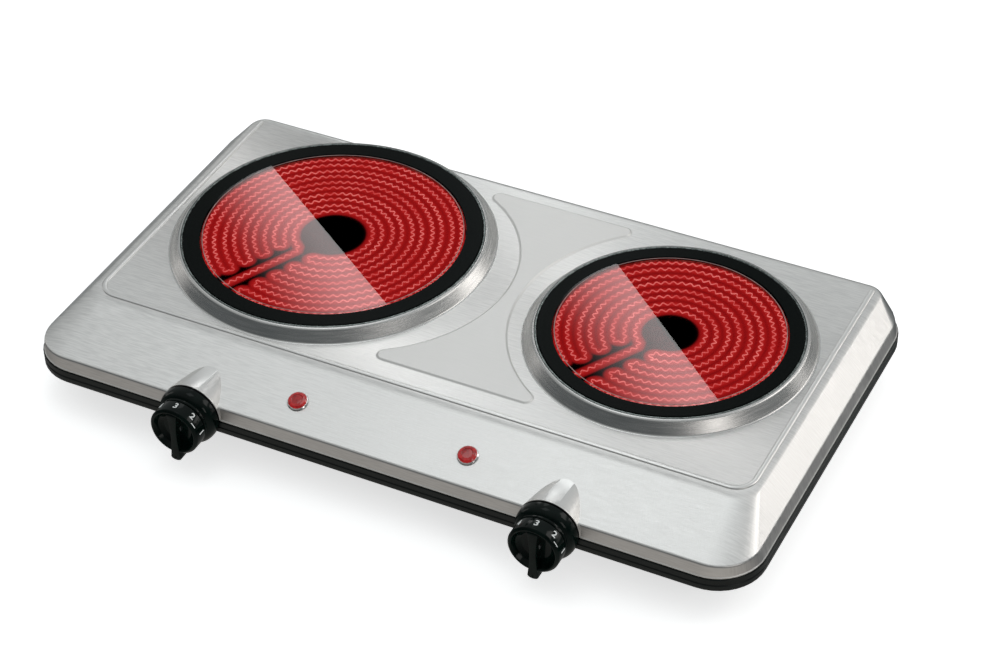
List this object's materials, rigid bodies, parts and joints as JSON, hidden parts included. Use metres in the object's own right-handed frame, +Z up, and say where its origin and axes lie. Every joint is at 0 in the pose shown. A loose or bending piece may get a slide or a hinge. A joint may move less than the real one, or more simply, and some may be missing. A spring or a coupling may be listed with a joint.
{
  "type": "hot plate burner",
  "caption": "Countertop infrared hot plate: pressed steel housing on a black pan, with round glass plates over radiant ribbons, turning knobs and red pilot lamps.",
  "frame": {"origin": "on the surface that the feet stand on, under the middle of the whole object's box, knobs included", "axes": "+X to the right as the user faces the knobs, +Y towards the back, +Z up"},
  "size_m": [0.5, 0.3058, 0.0643],
  "materials": {
    "brushed_steel": "brushed stainless sheet, grain along the width",
    "dark_steel": "polished dark stainless",
    "black_enamel": "smooth black enamel",
    "ceramic_glass": "black glass ceramic, polished top",
    "knob_plastic": "moulded black phenolic, polished",
    "ceramic_fibre": "pressed ceramic fibre board",
    "ribbon_alloy": "corrugated resistance ribbon, oxidised",
    "zinc_steel": "zinc plated steel",
    "white_ceramic": "unglazed steatite",
    "white_plastic": "moulded",
    "lamp_bezel": "polished metal",
    "red_lens": "clear red, cut in facets",
    "black_rubber": "moulded",
    "lead_sleeve": "braided glass-fibre sleeve"
  },
  "bodies": {
    "hotplate": {"top_housing": "brushed_steel", "base_pan": "black_enamel", "cord_gland": "black_rubber", "terminal_block": "white_ceramic", "glass_plate_large": "ceramic_glass", "trim_ring_large": "dark_steel", "element_dish_large": "zinc_steel", "insulation_base_large": "ceramic_fibre", "insulation_wall_large": "ceramic_fibre", "heating_ribbon_large": "ribbon_alloy", "thermal_limiter_large": "white_ceramic", "dish_support_large": "zinc_steel", "glass_plate_small": "ceramic_glass", "trim_ring_small": "dark_steel", "element_dish_small": "zinc_steel", "insulation_base_small": "ceramic_fibre", "insulation_wall_small": "ceramic_fibre", "heating_ribbon_small": "ribbon_alloy", "thermal_limiter_small": "white_ceramic", "dish_support_small": "zinc_steel", "knob_collar_left": "knob_plastic", "regulator_left": "white_plastic", "regulator_nut_left": "zinc_steel", "regulator_bracket_left": "zinc_steel", "lamp_body_left": "lamp_bezel", "lamp_lens_left": "red_lens", "supply_lead_left": "lead_sleeve", "foot_front_left": "black_rubber", "foot_screw_front_left": "zinc_steel", "corner_bracket_front_left": "zinc_steel", "corner_screw_front_left": "zinc_steel", "foot_back_left": "black_rubber", "foot_screw_back_left": "zinc_steel", "corner_bracket_back_left": "zinc_steel", "corner_screw_back_left": "zinc_steel", "knob_collar_right": "knob_plastic", "regulator_right": "white_plastic", "regulator_nut_right": "zinc_steel", "regulator_bracket_right": "zinc_steel", "lamp_body_right": "lamp_bezel", "lamp_lens_right": "red_lens", "supply_lead_right": "lead_sleeve", "foot_front_right": "black_rubber", "foot_screw_front_right": "zinc_steel", "corner_bracket_front_right": "zinc_steel", "corner_screw_front_right": "zinc_steel", "foot_back_right": "black_rubber", "foot_screw_back_right": "zinc_steel", "corner_bracket_back_right": "zinc_steel", "corner_screw_back_right": "zinc_steel"},
    "dial_left": {"dial_left": "knob_plastic", "regulator_shaft_left": "zinc_steel"},
    "dial_right": {"dial_right": "knob_plastic", "regulator_shaft_right": "zinc_steel"}
  },
  "joints": [
    {"name": "knob_turn_left", "type": "hinge", "parent": "hotplate", "child": "dial_left", "pos_m": [-0.1237, -0.12985, 0.0335], "axis": [0, 1, 0], "range_deg": [-127, 85]},
    {"name": "knob_turn_right", "type": "hinge", "parent": "hotplate", "child": "dial_right", "pos_m": [0.1237, -0.12985, 0.0335], "axis": [0, 1, 0], "range_deg": [-127, 85]}
  ]
}
